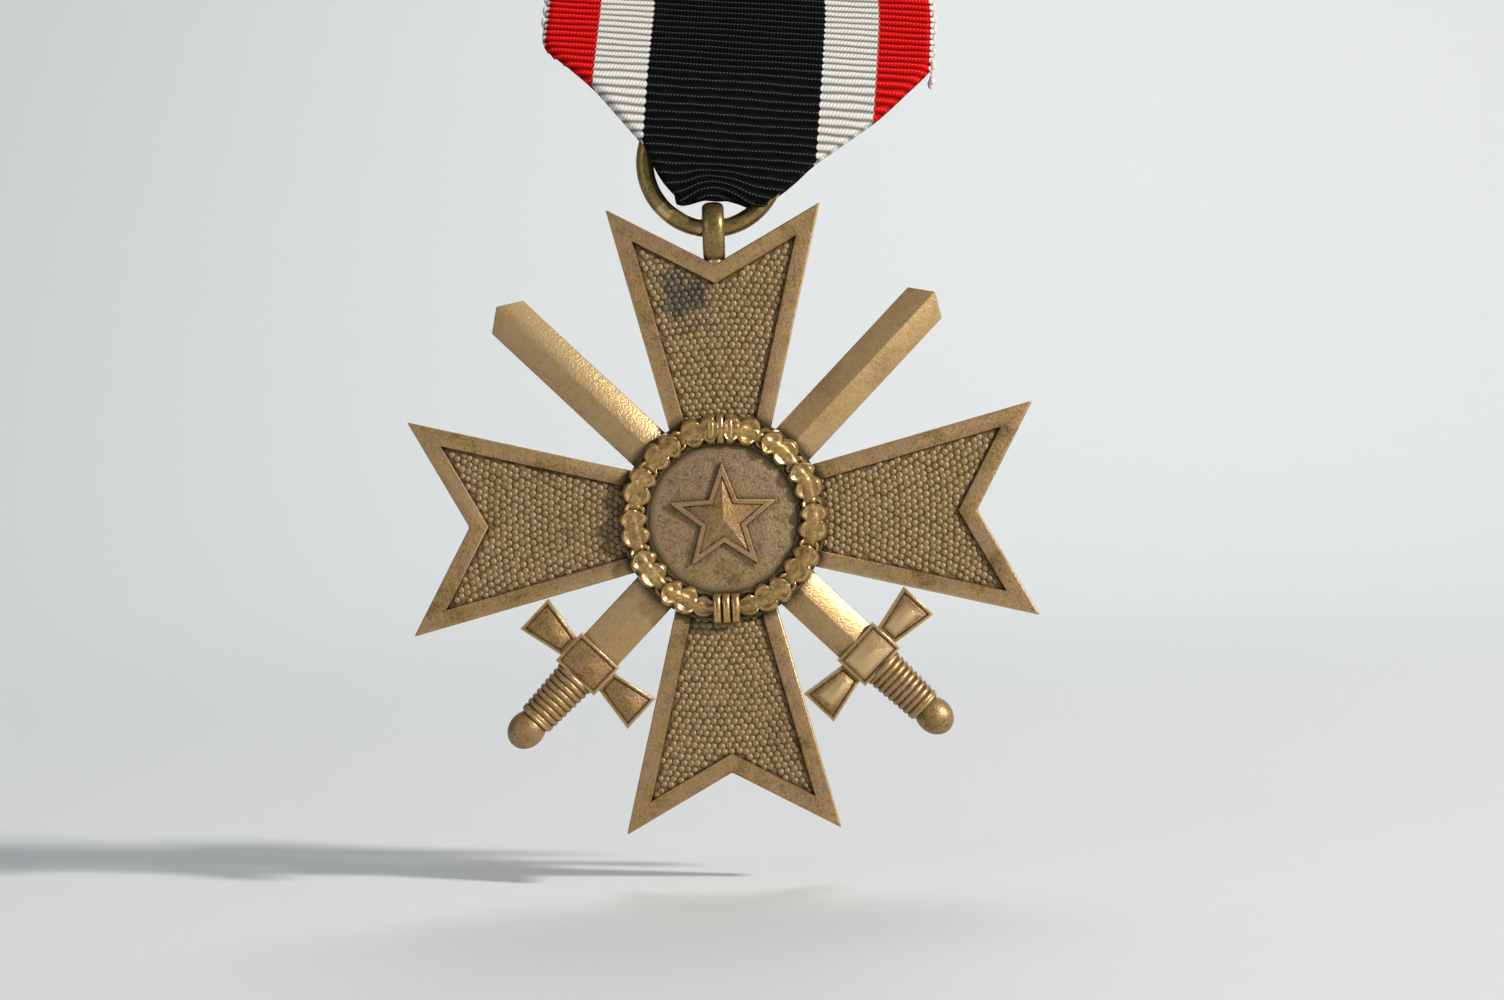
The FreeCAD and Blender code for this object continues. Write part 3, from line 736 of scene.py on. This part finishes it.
# how far the ribbon shows to either side of its middle, by height above the fold
vShape = {"left": [(0.0, 3.2), (0.9, 4.3), (1.96, 5.3), (4.2, 6.55), (8.46, 10.85), (11.4, 15.0)],
          "right": [(0.0, 2.6), (0.9, 3.7), (2.1, 5.1), (3.6, 6.4), (7.45, 11.2), (11.5, 15.0)]}


def ribbonHalf(z, side):
    line = vShape["left" if side < 0 else "right"]
    up = (z - ribbon["foldBottom"]) / math.cos(ribbon["lean"])
    total = 0
    for shift in (-0.6, -0.3, 0.0, 0.3, 0.6):
        place = min(line[-1][0], max(0.0, up + shift))
        for (low, wide), (high, wider) in zip(line, line[1:]):
            if low <= place <= high:
                total += wide + (wider - wide) * (place - low) / (high - low)
                break
    return total / 5


# the line of the ribbon from its hem behind the plate, down the front, through the ring, up behind
def ribbonLine():
    outer = ribbon["pocketClear"] + ribbon["thick"]
    top = ribbon["plateTop"]
    line = [("back", top - ribbon["hem"] + 0.2 * i) for i in range(int(ribbon["hem"] / 0.2))]
    line += [("cap", math.pi * i / 12) for i in range(13)]
    down = int((top - ribbon["turnStart"]) / 0.1)
    line += [("front", top - 0.2 - (top - 0.2 - ribbon["turnStart"]) * i / down) for i in range(down)]
    line += [("turn", math.pi * i / 40) for i in range(41)]
    rise = int((ribbon["backTop"] - ribbon["turnStart"]) / 0.1)
    line += [("rise", ribbon["turnStart"] + (ribbon["backTop"] - ribbon["turnStart"]) * (i + 1) / rise)
             for i in range(rise)]
    places = []
    for kind, value in line:
        if kind == "cap":
            y = ribbon["setBack"] + outer * math.cos(value)
            z = top + ribbon["capRise"] * math.sin(value)
            places.append((kind, 0.0, y, z, ribbon["half"], ribbon["half"], 0.0))
        elif kind == "turn":
            start = ribbon["turnStart"]
            part = min(value, math.pi - value) / (math.pi / 2)
            z = start - 0.45 * math.sin(math.pi * min(1, part / 0.62)) + 0.5 * smooth((part - 0.35) / 0.65)
            y = -(ribbon["foldClear"] + ribbon["thick"]) * math.cos(value)
            narrow = smooth((part - 0.12) / 0.68)
            x = ribbonMiddle(start) * (1 - narrow)
            halves = [half + (ribbon["throat"] - half) * narrow for half in
                      (ribbonHalf(start, -1), ribbonHalf(start, 1))]
            places.append((kind, x, y, z, *halves, ribbonSlope(start) * (1 - narrow)))
        else:
            side = -1 if kind == "front" else 1
            y = ribbonDepth(value) + side * (halfSpace(value) + ribbon["thick"])
            x = ribbonMiddle(value) if kind != "back" else 0.0
            slope = ribbonSlope(value) if kind != "back" else 0.0
            places.append((kind, x, y, value, ribbonHalf(value, -1), ribbonHalf(value, 1), slope))
    return places


def makeRibbon(material):
    places = ribbonLine()
    # ribs need evenly spaced rows, so the line is measured and divided by its length
    lengths = [0.0]
    for before, after in zip(places, places[1:]):
        lengths.append(lengths[-1] + math.hypot(after[2] - before[2], after[3] - before[3]))
    total = lengths[-1]
    rows = int(total / ribbon["pitch"] * ribbon["perRib"])
    bm = bmesh.new()
    made = bmesh.ops.create_grid(bm, x_segments=ribbon["columns"], y_segments=rows, size=1)["verts"]
    uvLayer = bm.loops.layers.uv.new("ribbonUV")
    flatPlace = {}
    cursor = 0
    for vert in sorted(made, key=lambda v: (v.co.y, v.co.x)):
        across, along = vert.co.x, (vert.co.y + 1) / 2 * total
        while cursor < len(lengths) - 2 and lengths[cursor + 1] < along:
            cursor += 1
        part = (along - lengths[cursor]) / max(1e-6, lengths[cursor + 1] - lengths[cursor])
        a, b = places[cursor], places[cursor + 1]
        x, y, z, halfLeft, halfRight, slope = [a[k] + (b[k] - a[k]) * part for k in (1, 2, 3, 4, 5, 6)]
        half = halfLeft if across < 0 else halfRight
        u = across * half
        angle = math.atan(slope)
        pointX = x + u * math.cos(angle)
        pointZ = z - u * math.sin(angle)
        ty, tz = b[2] - a[2], b[3] - a[3]
        size = math.hypot(ty, tz) or 1
        if a[0] in ("front", "rise"):
            side = -1 if a[0] == "front" else 1
            y = ribbonDepth(pointZ) + side * (halfSpace(pointZ) + ribbon["thick"])
        # the fold rises over the eyelet
        low = smooth((27.5 - z) / 3.5)
        hump = ribbon["hump"] * math.exp(-((pointX - 0.4) / 2.15) ** 4) * low * smooth((abs(y) - 0.3) / 0.9)
        sag = ribbon["sag"] * math.exp(-(pointX / 1.6) ** 2) - 0.25 + 0.16 * math.sin(0.55 * pointX + 0.8)
        along += 0.03 * math.sin(0.7 * u + 0.9 * along) + 0.018 * math.sin(2.3 * u - 2.9 * along)
        wave = along + sag * low * (1 if a[0] in ("front", "turn") else -1)
        rib = abs(math.sin(math.pi * wave / ribbon["pitch"])) ** 0.6
        lift = ribbon["ribDepth"] * (rib - 0.6)
        # the edge rolls back where it is folded in
        edge = half * (1 - abs(across))
        roll = 0.0
        if half < ribbon["half"] - 0.01 and edge < ribbon["rollReach"]:
            curl = 1 - edge / ribbon["rollReach"]
            roll = ribbon["roll"] * (1 - math.sqrt(max(0.0, 1 - curl ** 2)))
        normalY, normalZ = tz / size, -ty / size
        vert.co = (pointX, y + normalY * (lift - roll), pointZ + normalZ * (lift - roll) + hump)
        flatPlace[vert] = (u * 0.01, wave * 0.01)
    for face in bm.faces:
        for loop in face.loops:
            loop[uvLayer].uv = flatPlace[loop.vert]
    bmesh.ops.reverse_faces(bm, faces=bm.faces)  # outward, so the thickness grows inward
    toFrame(bm)
    piece = addObject(bm, "ribbonCloth", material)
    wall = piece.modifiers.new("thickness", "SOLIDIFY")
    wall.thickness = ribbon["thick"] * ribbon["thickShare"] * mm
    wall.offset = -1
    print("ribbon length mm", round(total, 1), "rows", rows)
    return piece, total


# stripes from the middle outwards, each with the distance in mm where it begins
stripes = {"black": (0.0022, 0.0032, 0.0034), "white": (0.72, 0.70, 0.65), "red": (0.66, 0.0020, 0.0012),
           "selvedge": (0.80, 0.72, 0.68), "reach": 16.0,
           "order": (("black", 0.0), ("white", 6.75), ("red", 10.85), ("selvedge", 14.85))}


def ribbonMaterial():
    material, nodes, links, shader = newMaterial("grosgrain")
    uv = nodes.new("ShaderNodeUVMap")
    uv.uv_map = "ribbonUV"
    split = nodes.new("ShaderNodeSeparateXYZ")
    links.new(uv.outputs["UV"], split.inputs["Vector"])
    across = mathNode(nodes, links, "MULTIPLY", split.outputs["X"], 100.0)
    along = mathNode(nodes, links, "MULTIPLY", split.outputs["Y"], 100.0)
    ribs = mathNode(nodes, links, "MULTIPLY", along, math.pi / ribbon["pitch"])
    ribs = mathNode(nodes, links, "ABSOLUTE", mathNode(nodes, links, "SINE", ribs))
    away = mathNode(nodes, links, "ABSOLUTE", across)
    jag = mathNode(nodes, links, "MULTIPLY", ribs, 0.16)
    away = mathNode(nodes, links, "ADD", away, jag)
    away = mathNode(nodes, links, "DIVIDE", away, stripes["reach"])
    stops = [(edge / stripes["reach"], stripes[name]) for name, edge in stripes["order"]]
    tone = rampNode(nodes, links, away, stops, "CONSTANT")
    threads = mathNode(nodes, links, "MULTIPLY", across, 2 * math.pi / 0.26)
    lag = mathNode(nodes, links, "MULTIPLY", along, 2 * math.pi / ribbon["pitch"])
    threads = mathNode(nodes, links, "SINE", mathNode(nodes, links, "ADD", threads, lag))
    fibre = mathNode(nodes, links, "MULTIPLY", threads, 0.5)
    fibre = mathNode(nodes, links, "ADD", fibre, 0.5)
    # painted shade in the grooves between the ribs
    grooveShade = rampNode(nodes, links, ribs,
                       [(0.0, grey(0.24)), (0.48, grey(0.44)), (0.72, grey(0.92)), (1.0, grey(1.0))])
    tone = mixNode(nodes, links, 1.0, tone, grooveShade, "MULTIPLY")
    # painted highlight: a thin grey line at the crest of each rib, only seen on the black
    crestGlint = rampNode(nodes, links, ribs, [(0.965, grey(0.0)), (0.995, grey(0.075))])
    crestGlint = mixNode(nodes, links, 1.0, crestGlint, fibre, "MULTIPLY")
    tone = mixNode(nodes, links, 1.0, tone, crestGlint, "ADD")
    fibreTone = rampNode(nodes, links, fibre, [(0.0, grey(0.84)), (1.0, grey(1.05))])
    tone = mixNode(nodes, links, 1.0, tone, fibreTone, "MULTIPLY")
    links.new(tone, shader.inputs["Base Color"])
    shader.inputs["Roughness"].default_value = 0.62
    shader.inputs["Specular IOR Level"].default_value = 0.06
    height = mathNode(nodes, links, "MULTIPLY", fibre, ribs)
    links.new(bumpNode(nodes, links, height, 0.6, 0.00005), shader.inputs["Normal"])
    return material


def threadMaterial(name, colour):
    material, nodes, links, shader = newMaterial(name)
    place = nodes.new("ShaderNodeTexCoord").outputs["Object"]
    twist = noiseNode(nodes, links, place, 9000, 2, 0.6)
    tone = rampNode(nodes, links, twist, [(0.3, tuple(c * 0.6 for c in colour)), (0.7, colour)])
    links.new(tone, shader.inputs["Base Color"])
    shader.inputs["Roughness"].default_value = 0.6
    links.new(bumpNode(nodes, links, twist, 0.6, 0.00004), shader.inputs["Normal"])
    return material


# the weft shows as small loops along the selvedge
picot = {"pitch": 1.25, "radius": 0.23, "tall": 0.38, "out": 0.04, "start": {-1: 37.2, 1: 34.4},
         "end": {-1: 66.5, 1: 58.5}}


def makePicots(material):
    bm = bmesh.new()
    for side in (-1, 1):
        for layer in (-1, 1):
            z = picot["start"][side]
            while z < picot["end"][layer]:
                angle = math.atan(ribbonSlope(z))
                u = side * (ribbon["half"] + picot["out"])
                x = ribbonMiddle(z) + u * math.cos(angle)
                pointZ = z - u * math.sin(angle)
                y = ribbonDepth(pointZ) + layer * (halfSpace(pointZ) + ribbon["thick"] * 0.5)
                tall = picot["tall"] * random.uniform(0.8, 1.15)
                shape = Matrix.Diagonal((picot["radius"], picot["radius"], tall, 1))
                bmesh.ops.create_uvsphere(bm, u_segments=10, v_segments=8, radius=1,
                                          matrix=Matrix.Translation((x, y, pointZ)) @ shape)
                step = ribbonDepth(z + 0.5) - ribbonDepth(z - 0.5)
                z += picot["pitch"] / math.hypot(1, step)
    return finishPiece(bm, "ribbonPicots", None, material, sharp=180, recalc=False)


stitch = {"count": 9, "pitch": 3.1, "length": 1.7, "deep": 0.14, "tall": 0.17, "proud": 0.06, "tilt": 6}


def makeStitches(material):
    bm = bmesh.new()
    for i in range(stitch["count"]):
        for side in (-1, 1):
            x = (i - stitch["count"] // 2) * stitch["pitch"]
            y = ribbon["setBack"] + side * (ribbon["pocketClear"] + ribbon["thick"] + stitch["proud"])
            tilt = Matrix.Rotation(math.radians(random.uniform(-stitch["tilt"], stitch["tilt"])), 4, "Y")
            shape = Matrix.Diagonal((stitch["length"] / 2, stitch["deep"], stitch["tall"], 1))
            made = bmesh.ops.create_uvsphere(bm, u_segments=16, v_segments=12, radius=1)["verts"]
            for vert in made:
                vert.co.x = math.copysign(abs(vert.co.x) ** 0.6, vert.co.x)
            place = Matrix.Translation((x, y, ribbon["stitches"]))
            bmesh.ops.transform(bm, verts=made, matrix=place @ tilt @ shape)
    return finishPiece(bm, "ribbonThreads", "hanger", material, ["ribbon_stitches"], sharp=180)


# camera and light

shot = {"lens": 85.0, "sensor": 36.0, "pixelsPerMm": 13.06, "imageWide": 1504, "imageTall": 1000,
        "crossX": 723.5, "crossY": 518.5, "roll": 2.0}


def makeCamera():
    wide = shot["imageWide"] / shot["pixelsPerMm"]
    distance = wide * shot["lens"] / shot["sensor"]
    offsetX = (shot["imageWide"] / 2 - shot["crossX"]) / shot["pixelsPerMm"]
    offsetZ = (shot["crossY"] - shot["imageTall"] / 2) / shot["pixelsPerMm"]
    roll = math.radians(shot["roll"])
    right = Vector((math.cos(roll), 0, -math.sin(roll)))
    up = Vector((math.sin(roll), 0, math.cos(roll)))
    aim = crossMiddle + (right * offsetX + up * offsetZ) * mm
    camera = bpy.data.cameras.new("camera")
    camera.lens = shot["lens"]
    camera.sensor_width = shot["sensor"]
    camera.clip_start = 0.01
    camera.clip_end = 20
    holder = bpy.data.objects.new("camera", camera)
    bpy.context.scene.collection.objects.link(holder)
    back = Vector((0, -1, 0))
    axes = Matrix((right, up, back)).transposed().to_4x4()
    holder.matrix_world = Matrix.Translation(aim + back * distance * mm) @ axes
    bpy.context.scene.camera = holder


# in metres: a floor that curves up into a wall behind the object
studio = {"colour": (0.70, 0.72, 0.725, 1), "roughness": 0.85, "below": 0.004, "near": -3.0, "bend": 0.55,
          "curve": 0.35, "steps": 12, "tall": 2.5, "side": 3}


def makeFloor():
    material, *_, shader = newMaterial("paleFloor")
    shader.inputs["Base Color"].default_value = studio["colour"]
    shader.inputs["Roughness"].default_value = studio["roughness"]
    bm = bmesh.new()
    level = cadLow.z - studio["below"]
    bend, curve, steps = studio["bend"], studio["curve"], studio["steps"]
    profile = [(studio["near"], 0.0), (bend, 0.0)]
    for i in range(1, steps + 1):
        a = math.radians(90 * i / steps)
        profile.append((bend + curve * math.sin(a), curve - curve * math.cos(a)))
    profile.append((bend + curve, studio["tall"]))
    verts = [bm.verts.new((-studio["side"], y, level + z)) for y, z in profile]
    edges = [bm.edges.new(pair) for pair in zip(verts, verts[1:])]
    made = bmesh.ops.extrude_edge_only(bm, edges=edges)["geom"]
    far = [p for p in made if isinstance(p, bmesh.types.BMVert)]
    bmesh.ops.translate(bm, vec=(2 * studio["side"], 0, 0), verts=far)
    bmesh.ops.recalc_face_normals(bm, faces=bm.faces)
    floor = addObject(bm, "floor", material)


def addLight(name, place, size, power, colour=(1, 1, 1)):
    light = bpy.data.lights.new(name, "AREA")
    light.shape = "DISK"
    light.size = size
    light.energy = power
    light.color = colour
    holder = bpy.data.objects.new(name, light)
    bpy.context.scene.collection.objects.link(holder)
    aim = Vector(crossMiddle)
    holder.location = aim + Vector(place)
    holder.rotation_mode = "QUATERNION"
    holder.rotation_quaternion = (aim - holder.location).to_track_quat("-Z", "Y")


def makeLights():
    world = bpy.data.worlds.new("studio")
    world.use_nodes = True
    background = world.node_tree.nodes["Background"]
    background.inputs["Color"].default_value = (0.80, 0.83, 0.86, 1)
    background.inputs["Strength"].default_value = 0.30
    bpy.context.scene.world = world
    addLight("key", (0.80, -0.56, 0.40), 0.11, 14, (1.0, 0.97, 0.93))
    addLight("fill", (-0.8, -0.8, 0.2), 0.7, 1.2, (0.93, 0.96, 1.0))
    addLight("behind", (0.1, 0.8, 0.6), 0.5, 3)
    bpy.context.scene.view_settings.view_transform = "Standard"


makeCamera()
makeFloor()
makeLights()
print("camera, floor and lights ready")
makeCross()
makePebbles("fieldPebblesFront", -1)
makePebbles("fieldPebblesBack", 1)
print("cross ready")
makeSword("swordLeft", -1, "sword_left")
makeSword("swordRight", 1, "sword_right")
print("swords ready")
makeDisc("discFront", -1, "medallion_front")
makeDisc("discBack", 1, "medallion_back")
makeWreath("oakWreathFront", -1, "wreath_front")
makeWreath("oakWreathBack", 1, "wreath_back")
makeTies("wreathBandsFront", -1, "wreath_ties_front")
makeTies("wreathBandsBack", 1, "wreath_ties_back")
makeStar()
print("medallion ready")
makeEyelet()
makeRing()
print("ring ready")

cloth, clothLength = makeRibbon(ribbonMaterial())
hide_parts("ribbon_lower", "ribbon_upper_front", "ribbon_upper_back")
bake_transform(cloth)
picots = makePicots(threadMaterial("selvedgeThread", (0.75, 0.66, 0.63)))
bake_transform(picots)
makeStitches(threadMaterial("sewingThread", (0.03, 0.03, 0.032)))
print("ribbon ready")

for node in ("hanger_plate", "hinge_bracket", "catch_hook"):
    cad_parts[node].data.materials.clear()
    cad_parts[node].data.materials.append(plateSteel)
for node in ("hinge_rivet", "brooch_needle"):
    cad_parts[node].data.materials.clear()
    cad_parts[node].data.materials.append(needleSteel)
